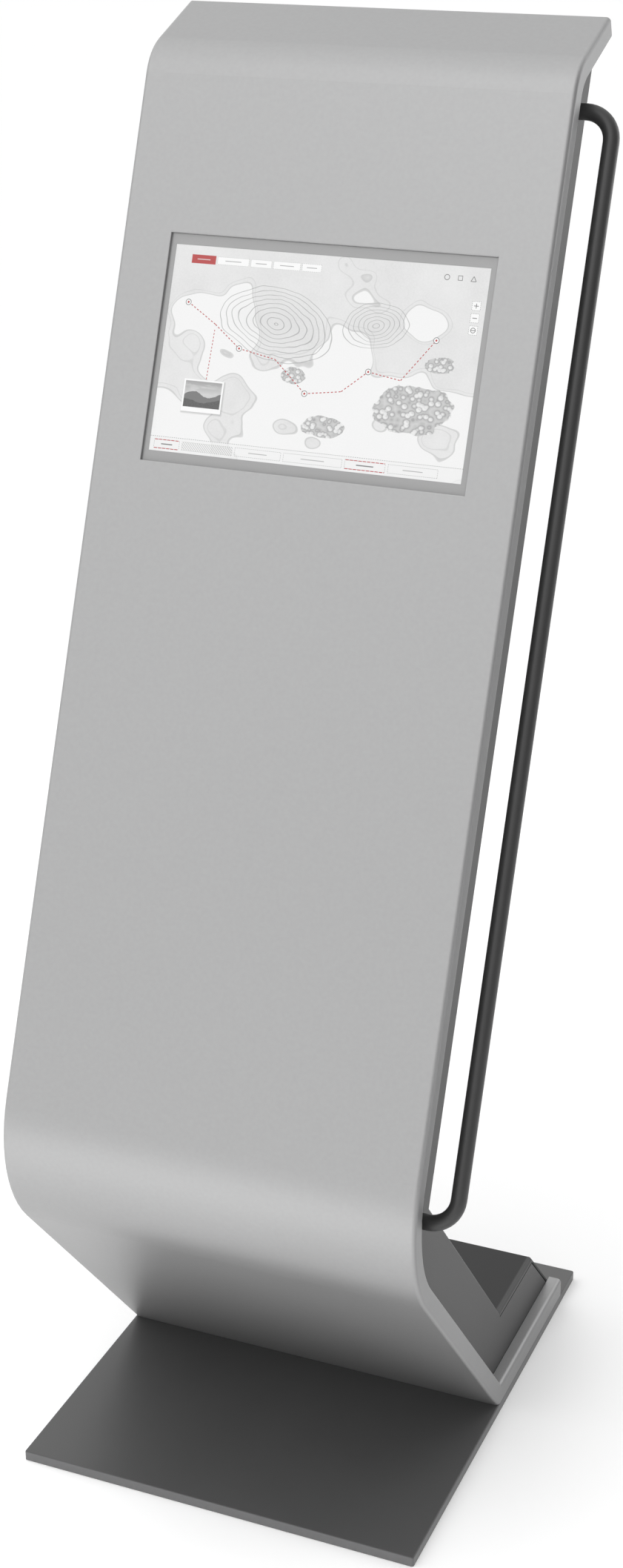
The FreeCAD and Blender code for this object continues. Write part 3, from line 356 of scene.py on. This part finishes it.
def mat_zinc():
    m = Mat("zinc_coated_steel", rough=0.42, metal=1.0)
    cell = m.voronoi(160.0, out="Color")
    sp = m.nt.nodes.new("ShaderNodeSeparateXYZ")
    m.link(cell, sp.inputs[0])
    tone = S(m, sp.outputs[0])
    fine = m.noise(700.0, 2, 0.6)
    m.color(m.ramp(tone * 0.7 + fine * 0.3, [(0.1, (0.50, 0.51, 0.53)), (0.9, (0.68, 0.69, 0.71))], "LINEAR"))
    m.rough(tone * 0.18 + fine * 0.08 + 0.28)
    m.bump(fine, 0.08, 0.0001)
    return m.m


def mat_seam_shade_zinc():
    """zinc-coated strips that show in the seams, painted near black as painted shade in those seams"""
    m = Mat("seam_shade_dark_zinc", rough=0.55, metal=0.7)
    cell = m.voronoi(200.0, out="Color")
    sp = m.nt.nodes.new("ShaderNodeSeparateXYZ")
    m.link(cell, sp.inputs[0])
    tone = S(m, sp.outputs[0])
    fine = m.noise(700.0, 2, 0.6)
    m.color(m.ramp(tone * 0.6 + fine * 0.4, [(0.1, (0.012, 0.012, 0.013)), (0.9, (0.026, 0.026, 0.027))], "LINEAR"))
    m.rough(tone * 0.12 + fine * 0.08 + 0.46)
    m.bump(fine, 0.08, 0.0001)
    return m.m


def mat_steel(name, tone=0.6, rough=0.3):
    m = Mat(name, rough=rough, metal=1.0)
    turn = m.noise(1400.0, 3, 0.7)
    big = m.noise(120.0, 3, 0.5)
    m.color(m.ramp(turn * 0.5 + big * 0.5, [(0.3, tone * 0.86), (0.7, tone * 1.06)], "LINEAR"))
    m.rough(turn * 0.14 + big * 0.1 + (rough - 0.12))
    m.bump(turn, 0.08, 0.00008)
    return m.m


def mat_brushed(name, tone=0.5, rough=0.34):
    m = Mat(name, rough=rough, metal=1.0)
    lines = m.noise(3.0, 3, 0.7, vec=m.stretch(80.0, 700.0, 700.0))
    big = m.noise(40.0, 2, 0.5)
    m.color(m.ramp(lines * 0.6 + big * 0.4, [(0.3, tone * 0.85), (0.7, tone * 1.08)], "LINEAR"))
    m.rough(lines * 0.14 + big * 0.08 + (rough - 0.1))
    m.bump(lines, 0.12, 0.00008)
    return m.m


def mat_rubber(name="matt_black_rubber"):
    m = Mat(name, rough=0.8, spec=0.3)
    g = m.noise(900.0, 3, 0.7)
    m.color(m.ramp(g, [(0.3, 0.018), (0.7, 0.032)], "LINEAR"))
    m.rough(g * 0.15 + 0.7)
    m.bump(g, 0.25, 0.0002)
    return m.m


def mat_plastic(name, lo, hi, rough=0.5, bump=0.2):
    m = Mat(name, rough=rough)
    g = m.noise(1300.0, 2, 0.6)
    b = m.noise(30.0, 2, 0.5)
    m.color(m.ramp(g * 0.5 + b * 0.5, [(0.3, lo), (0.7, hi)], "LINEAR"))
    m.rough(g * 0.12 + b * 0.05 + (rough - 0.08))
    m.bump(g, bump, 0.0001)
    return m.m


def mat_alu(name, lo, hi, rough=0.38):
    m = Mat(name, rough=rough, metal=1.0)
    lines = m.noise(2.0, 3, 0.7, vec=m.stretch(60.0, 900.0, 900.0))
    big = m.noise(18.0, 3, 0.5)
    m.color(m.ramp(lines * 0.5 + big * 0.5, [(0.3, lo), (0.7, hi)], "LINEAR"))
    m.rough(lines * 0.12 + big * 0.08 + (rough - 0.1))
    m.bump(lines, 0.1, 0.00008)
    return m.m


PIX, GLOW = 0.70, 0.115


# the picture area of the screen, drawn in millimetres round its centre
def mat_screen():
    m = Mat("screen_front", rough=0.18, spec=0.5, coat=0.6, coat_rough=0.04)
    u = m.along(PIC, (1, 0, 0))
    v = m.along(PIC, UP)
    flat = m.vec(u * 0.01, v * 0.01, 0.0)

    def rect(cu, cv, w, h, soft=0.25):
        a = (u - cu).abs().step(w / 2 + soft, w / 2 - soft)
        b = (v - cv).abs().step(h / 2 + soft, h / 2 - soft)
        return a * b

    def frame_(cu, cv, w, h, t, soft=0.2):
        return (rect(cu, cv, w, h, soft) - rect(cu, cv, w - 2 * t, h - 2 * t, soft)).clamp()

    def dashed(e, period, duty=0.55):
        return (e / period).fract().step(duty + 0.06, duty - 0.06)

    def disc(cu, cv, r, soft=0.3):
        du, dv = u - cu, v - cv
        return (du * du + dv * dv).sqrt().step(r + soft, r - soft)

    def ring(cu, cv, r, t, soft=0.25):
        du, dv = u - cu, v - cv
        return ((du * du + dv * dv).sqrt() - r).abs().step(t / 2 + soft, t / 2 - soft)

    def seg(u0, v0, u1, v1, w, dash=None, duty=0.55, soft=0.25):
        L = math.hypot(u1 - u0, v1 - v0)
        ax, ay = (u1 - u0) / L, (v1 - v0) / L
        t = (u - u0) * ax + (v - v0) * ay
        n = (u - u0) * (-ay) + (v - v0) * ax
        k = n.abs().step(w / 2 + soft, w / 2 - soft) * (t - L / 2).abs().step(L / 2 + soft, L / 2 - soft)
        if dash:
            k = k * dashed(t, dash, duty)
        return k

    ink = (lin(96),) * 3
    red = (lin(180), lin(30), lin(30))
    # mottled paper ground and paler land on it
    mottle = m.noise(1.6, 5, 0.62, vec=flat) * 0.65 + m.noise(48.0, 2, 0.6, vec=flat) * 0.35
    c = m.ramp(mottle, [(0.32, lin(219)), (0.5, lin(227)), (0.68, lin(233))], "LINEAR")
    field = m.noise(0.85, 2, 0.45, vec=m.vec(u * 0.01 + 3.7, v * 0.013 + 1.3, 0.0)) + v * -0.0009
    shape = field.step(0.500, 0.505)
    c = m.mix(shape, c, m.mix(m.noise(60.0, 2, 0.6, vec=flat), (lin(239),) * 3, (lin(246),) * 3))
    shore = (field - 0.5025).abs().step(0.0050, 0.0022)
    c = m.mix(shore * 0.5, c, (lin(172),) * 3)
    depth = (field - 0.478).abs().step(0.0032, 0.0012)
    c = m.mix(depth * 0.3, c, (lin(176),) * 3)
    # height lines over two rises
    hu, hv = u + 52.0, v - 36.0
    r1 = (hu * hu * 0.62 + hv * hv * 1.7 + hu * hv * 0.5).sqrt()
    hu2, hv2 = u - 64.0, v - 44.0
    r2 = (hu2 * hu2 * 0.9 + hv2 * hv2 * 2.1 - hu2 * hv2 * 0.6).sqrt()
    wob = m.noise(2.4, 2, 0.5, vec=flat)
    for r, far, gap in ((r1, 54.0, 6.0), (r2, 40.0, 5.4)):
        rr = r + wob * 16.0 - 8.0
        line = ((rr / gap).fract() - 0.5).abs().step(0.095, 0.04)
        c = m.mix(rr.step(far, far * 0.1) * 0.10, c, (lin(130),) * 3)
        c = m.mix(line * rr.step(far, far - 3.0) * 0.6, c, (lin(128),) * 3)

    # canopy seen from above: packed rounds with a shaded lower side
    def canopy(cu, cv, ru, rv, size, seed):
        du, dv = (u - cu) / ru, (v - cv) / rv
        edge = (du * du + dv * dv).sqrt() + m.noise(5.0, 2, 0.5, vec=flat) * 0.7 - 0.35
        inside_ = edge.step(1.0, 0.96)
        k = 0.01 / size
        d = m.voronoi(100.0, vec=m.vec(u * k + seed, v * k * 1.15, 0.0), randomness=0.8)
        d2 = m.voronoi(100.0, vec=m.vec(u * k + seed + 0.0016, v * k * 1.15 + 0.0021, 0.0), randomness=0.8)
        tone = m.ramp(d, [(0.0, lin(243)), (0.36, lin(228)), (0.52, lin(148)), (0.62, lin(184)), (0.9, lin(202))], "LINEAR")
        tone = m.mix((d2 - d).step(0.05, 0.35) * 0.45, tone, (lin(152),) * 3)
        return inside_, tone

    for spec_ in ((118.0, -42.0, 46.0, 27.0, 7.2, 0.3), (18.0, -70.0, 26.0, 12.0, 6.2, 0.7), (-24.0, -18.0, 15.0, 9.0, 5.6, 0.1),
                  (142.0, 8.0, 17.0, 9.0, 5.8, 0.5)):
        k_, t_ = canopy(*spec_)
        c = m.mix(k_ * 0.9, c, t_)
    # a dashed path with stops
    path = [(-160, 52), (-124, 30), (-92, 6), (-48, -2), (-8, -36), (34, -30), (62, -6), (100, -12), (134, 34)]
    for (a0, b0), (a1, b1) in zip(path, path[1:]):
        c = m.mix(seg(a0, b0, a1, b1, 1.0, dash=4.4), c, red)
    for i, (a0, b0) in enumerate(path):
        if i % 2 == 0:
            c = m.mix(disc(a0, b0, 3.3), c, (lin(250),) * 3)
            c = m.mix(ring(a0, b0, 3.1, 0.7), c, ink)
            c = m.mix(disc(a0, b0, 1.2), c, red)
    # row of small tabs at the top left
    cu = -164.0
    for i, w_ in enumerate((31.0, 40.0, 27.0, 34.0, 25.0)):
        cu += w_ / 2
        if i == 0:
            c = m.mix(rect(cu, 100.0, w_ - 2.0, 9.6), c, red)
            c = m.mix(rect(cu, 100.0, w_ * 0.5, 1.0) * 0.7, c, (lin(232),) * 3)
        else:
            c = m.mix(rect(cu, 100.0, w_ - 2.0, 8.6), c, (lin(248),) * 3)
            c = m.mix(frame_(cu, 100.0, w_ - 2.0, 8.6, 0.35) * dashed(u + v, 2.2), c, (lin(150),) * 3)
            c = m.mix(rect(cu, 100.0, w_ * 0.48, 0.9) * 0.7, c, (lin(118),) * 3)
        cu += w_ / 2
    # three small marks at the top right: ring, square, triangle of lines
    c = m.mix(ring(136, 102, 2.8, 0.7), c, ink)
    c = m.mix(frame_(151, 102, 5.4, 5.4, 0.6), c, ink)
    for a0, b0, a1, b1 in ((163.0, 99.4, 166, 104.8), (166, 104.8, 169.0, 99.4), (163.0, 99.4, 169.0, 99.4)):
        c = m.mix(seg(a0, b0, a1, b1, 0.7), c, ink)
    # photo card with a white border: sky, two ridges and a dark foreground
    cu, cv, w, h = -128.0, -50.0, 48.0, 36.0
    c = m.mix(rect(cu + 0.9, cv - 1.2, w + 1.5, h + 1.5, 1.3) * 0.4, c, (lin(110),) * 3)
    c = m.mix(rect(cu, cv, w, h), c, (lin(250),) * 3)
    inner = rect(cu, cv + 1.6, w - 4, h - 7)
    sky = m.ramp(((v - (cv - 13.0)) / 28.0).clamp(), [(0.0, lin(140)), (0.5, lin(206)), (1.0, lin(160))], "LINEAR")
    sky = m.mix(m.noise(12.0, 4, 0.6, vec=m.vec(u * 0.004, v * 0.018, 0.0)).step(0.45, 0.7) * 0.45, sky, (lin(232),) * 3)
    ridge1 = v - (cv + 1.6) - ((u * 0.17).sin() * 3.2) - (m.noise(9.0, 3, 0.6, vec=flat) * 6.0 - 3.0)
    ridge2 = v - (cv - 5.0) - ((u * 0.12 + 1.3).sin() * 2.4) - (m.noise(14.0, 3, 0.6, vec=flat) * 4.0 - 2.0)
    pic = m.mix(ridge1.step(0.4, -0.4), sky, (lin(108),) * 3)
    pic = m.mix(ridge2.step(0.4, -0.4), pic, m.mix(m.noise(60.0, 2, 0.6, vec=flat), (lin(36),) * 3, (lin(92),) * 3))
    c = m.mix(inner, c, pic)
    c = m.mix(seg(-126.0, -31.0, -124.0, 24.0, 0.9, dash=3.8), c, red)
    # bottom bar of dashed cells
    c = m.mix(rect(0, -106.8, 368.0, 16.4) * 0.75, c, (lin(240),) * 3)
    c = m.mix(seg(-184, -98.6, 184, -98.6, 0.5, dash=2.6), c, (lin(130),) * 3)
    cu = -180.0
    for i, w_ in enumerate((34.0, 64.0, 58.0, 72.0, 50.0, 60.0)):
        cu += w_ / 2
        c = m.mix(frame_(cu, -106.8, w_ - 3.0, 9.6, 0.4) * dashed(u - v, 2.4), c, (lin(140),) * 3)
        if i in (0, 4):
            for dv_ in (-4.8, 4.8):
                c = m.mix(seg(cu - w_ / 2 + 2, -106.8 + dv_, cu + w_ / 2 - 2, -106.8 + dv_, 0.9, dash=5.0, duty=0.8), c, red)
            c = m.mix(rect(cu, -106.8, w_ * 0.4, 1.3) * 0.9, c, ink)
        elif i == 1:
            hatch = ((u + v) / 2.8).fract().step(0.45, 0.3)
            c = m.mix(rect(cu, -106.8, w_ - 4.0, 8.6) * hatch * 0.5, c, (lin(120),) * 3)
        else:
            c = m.mix(rect(cu, -106.8, w_ * 0.38, 0.9) * 0.65, c, (lin(118),) * 3)
        cu += w_ / 2
    # three small dashed buttons at the right edge
    for i in range(3):
        cv = 74.0 - i * 13.0
        c = m.mix(rect(173.0, cv, 10.0, 10.0), c, (lin(248),) * 3)
        c = m.mix(frame_(173.0, cv, 10.0, 10.0, 0.45) * dashed(u + v, 2.0), c, (lin(110),) * 3)
        c = m.mix(seg(170.4, cv, 175.6, cv, 0.8), c, ink)
        if i == 0:
            c = m.mix(seg(173.0, cv - 2.6, 173.0, cv + 2.6, 0.8), c, ink)
        if i == 2:
            c = m.mix(ring(173.0, cv, 2.6, 0.7), c, ink)
    # printed border round the picture
    inside = rect(0, 0, 368.0, 230.0, 0.35)
    line = frame_(0, 0, 368.6, 230.6, 0.7)
    border = m.mix(m.noise(300.0, 2, 0.6, vec=flat), (lin(130) / PIX,) * 3, (lin(137) / PIX,) * 3)
    c = m.mix(inside, border, c)
    c = m.mix(line * 0.45, c, (lin(70),) * 3)
    dim = m.nt.nodes.new("ShaderNodeVectorMath")
    dim.operation = "SCALE"
    m.link(c, dim.inputs[0])
    dim.inputs["Scale"].default_value = PIX
    m.color(dim.outputs[0])
    m.link(c, m.b.inputs["Emission Color"])
    m.b.inputs["Emission Strength"].default_value = GLOW
    m.rough(m.noise(900.0, 2, 0.6, vec=flat) * 0.05 + 0.15)
    m.bump(m.noise(700.0, 2, 0.5), 0.02, 0.00005)
    return m.m


MATS = {
    "shell_silver": mat_shell(),
    "housing_grey": mat_powder("dark_grey_powder_coat", 0.034, 0.041, 0.46, 0.2, 0.42),
    "plate_grey": mat_plate(),
    "rail_black": mat_tube(),
    "screen_glass": mat_screen(),
    "display_metal": mat_powder("dark_sheet_metal", 0.03, 0.045, 0.42, 0.1),
    "seal_rubber": mat_rubber(),
    "zinc_steel": mat_zinc(),
    "steel_screws": mat_steel("stainless_screws", 0.62, 0.3),
    "hinge_steel": mat_brushed("satin_hinge_steel", 0.5, 0.34),
    "computer_aluminium": mat_alu("black_anodised_aluminium", 0.03, 0.05, 0.42),
    "supply_aluminium": mat_alu("plain_aluminium_sheet", 0.6, 0.72, 0.36),
    "terminal_plastic": mat_plastic("pale_terminal_plastic", (0.36, 0.37, 0.31), (0.44, 0.45, 0.38), 0.5),
    "fan_plastic": mat_plastic("black_fan_plastic", 0.018, 0.03, 0.45),
    "guard_chrome": mat_steel("bright_wire", 0.75, 0.18),
    "lock_chrome": mat_steel("bright_lock_metal", 0.75, 0.2),
    "inlet_plastic": mat_plastic("black_inlet_plastic", 0.016, 0.028, 0.42),
    "rocker_plastic": mat_plastic("rocker_plastic", 0.02, 0.034, 0.28, 0.06),
}
for row in frame["record"]["subparts"]:
    ob = NODES[row["node"]]
    if not ob.data.materials:
        ob.data.materials.append(MATS[row["material_slot"]])
    for i in range(len(ob.data.materials)):
        ob.data.materials[i] = MATS[row["material_slot"]]
for node_, mat_ in (("foot_cover", mat_cover()), ("rear_angles", mat_seam_shade_zinc())):
    for i in range(len(NODES[node_].data.materials)):
        NODES[node_].data.materials[i] = mat_

# --------------------------------------------------------------- floor, light
bm = bmesh.new()
rings = [0.0, 1.2, 3.0, 8.0, 30.0, 90.0]
seg_n = 48
prev = None
for r in rings:
    if r == 0.0:
        cur = [bm.verts.new((0, 0, 0))]
    else:
        cur = [bm.verts.new((r * math.cos(2 * math.pi * k / seg_n), r * math.sin(2 * math.pi * k / seg_n), 0)) for k in range(seg_n)]
    if prev is not None:
        for k in range(seg_n):
            a, b = cur[k], cur[(k + 1) % seg_n]
            if len(prev) == 1:
                bm.faces.new((prev[0], a, b))
            else:
                bm.faces.new((prev[k], a, b, prev[(k + 1) % seg_n]))
    prev = cur
fm = bpy.data.meshes.new("floor")
bm.to_mesh(fm)
bm.free()
floor = bpy.data.objects.new("floor", fm)
floor.location = (0, 0, -0.0006)
scene.collection.objects.link(floor)
fmat = Mat("plain_pale_floor", rough=0.9, spec=0.1)
fmat.color((0.90, 0.90, 0.90))
# a little more light lies on the floor in front and front left
fx, fy, fz = fmat.xyz()
glow = None
for px, py, pr, pk in ((-1.0, -1.5, 1.1, 0.78), (0.1, -1.6, 0.9, 0.79)):
    q = ((fx - px) * (fx - px) + (fy - py) * (fy - py)) * (1.0 / (pr * pr))
    g = (q * q + 1.0).pow(-1.5) * pk
    glow = g if glow is None else glow + g
fmat.link(fmat.vec(glow + 0.063, glow + 0.063, glow + 0.063), fmat.b.inputs["Emission Color"])
fmat.b.inputs["Emission Strength"].default_value = 1.0
fm.materials.append(fmat.m)

world = bpy.data.worlds.new("studio")
scene.world = world
world.use_nodes = True
wn = world.node_tree
wn.nodes.clear()
wo = wn.nodes.new("ShaderNodeOutputWorld")
bg = wn.nodes.new("ShaderNodeBackground")
wn.links.new(bg.outputs[0], wo.inputs[0])
bg.inputs["Strength"].default_value = 1.0


class W:
    nt = wn


tcw = wn.nodes.new("ShaderNodeTexCoord")
sw = wn.nodes.new("ShaderNodeSeparateXYZ")
wn.links.new(tcw.outputs["Generated"], sw.inputs[0])
wx, wy, wz = (S(W, sw.outputs[i]) for i in range(3))
# soft studio walls: direction, power of the falloff, strength
LOBES = [
    ((0.6, 0.6, 0.5), 5, 0.501),      # right, behind
    ((0.0, 0.7, 0.7), 5, 0.630),      # behind, high
    ((-0.6, 0.6, 0.5), 5, 0.332),     # left, behind
    ((-0.7, 0.0, 0.7), 5, 0.833),     # left, high
    ((-1.0, 0.0, 0.0), 2, 0.428),     # left wall
    ((0.0, -1.0, 0.2), 5, 0.543),     # front
    ((0.0, -0.7, 0.7), 5, 0.359),     # front, high
    ((0.0, -1.0, 0.1), 2, 0.451),     # front wall
    ((-0.6, -0.6, 0.5), 5, 0.564),    # left, in front
    ((0.0, 0.0, 1.0), 5, 0.983),      # ceiling
    ((-0.55, -0.65, 0.52), 14, 0.425),  # soft box
]
level = None
for d_, p_, k_ in LOBES:
    d_ = Vector(d_).normalized()
    lobe = (wx * d_.x + wy * d_.y + wz * d_.z).max(0.0).pow(float(p_)) * k_
    level = lobe if level is None else level + lobe
cw = wn.nodes.new("ShaderNodeCombineColor")
for i in range(3):
    wn.links.new(level.s, cw.inputs[i])
# the walls light the object, and the backdrop itself is seen as plain white
seen = wn.nodes.new("ShaderNodeLightPath")
plainw = wn.nodes.new("ShaderNodeMix")
plainw.data_type = "RGBA"
wn.links.new(seen.outputs["Is Camera Ray"], plainw.inputs[0])
wn.links.new(cw.outputs[0], plainw.inputs[6])
plainw.inputs[7].default_value = (1.0, 1.0, 1.0, 1.0)
wn.links.new(plainw.outputs[2], bg.inputs["Color"])

# three large soft boxes: above in front, and behind on either side
for name_, at_, to_, size_, watt in (("box_top", (0.2, -1.4, 3.2), (0, -0.1, 0.8), 2.0, 7.1),
                                     ("box_right", (1.6, 1.8, 1.7), (0.1, 0, 0.8), 1.6, 10.0),
                                     ("box_left", (-1.4, 1.9, 1.6), (0, 0, 0.9), 1.6, 5.8)):
    ld = bpy.data.lights.new(name_, "AREA")
    ld.shape = "SQUARE"
    ld.size = size_
    ld.energy = watt
    lo = bpy.data.objects.new(name_, ld)
    lo.location = at_
    lo.rotation_euler = (Vector(to_) - Vector(at_)).to_track_quat("-Z", "Y").to_euler()
    scene.collection.objects.link(lo)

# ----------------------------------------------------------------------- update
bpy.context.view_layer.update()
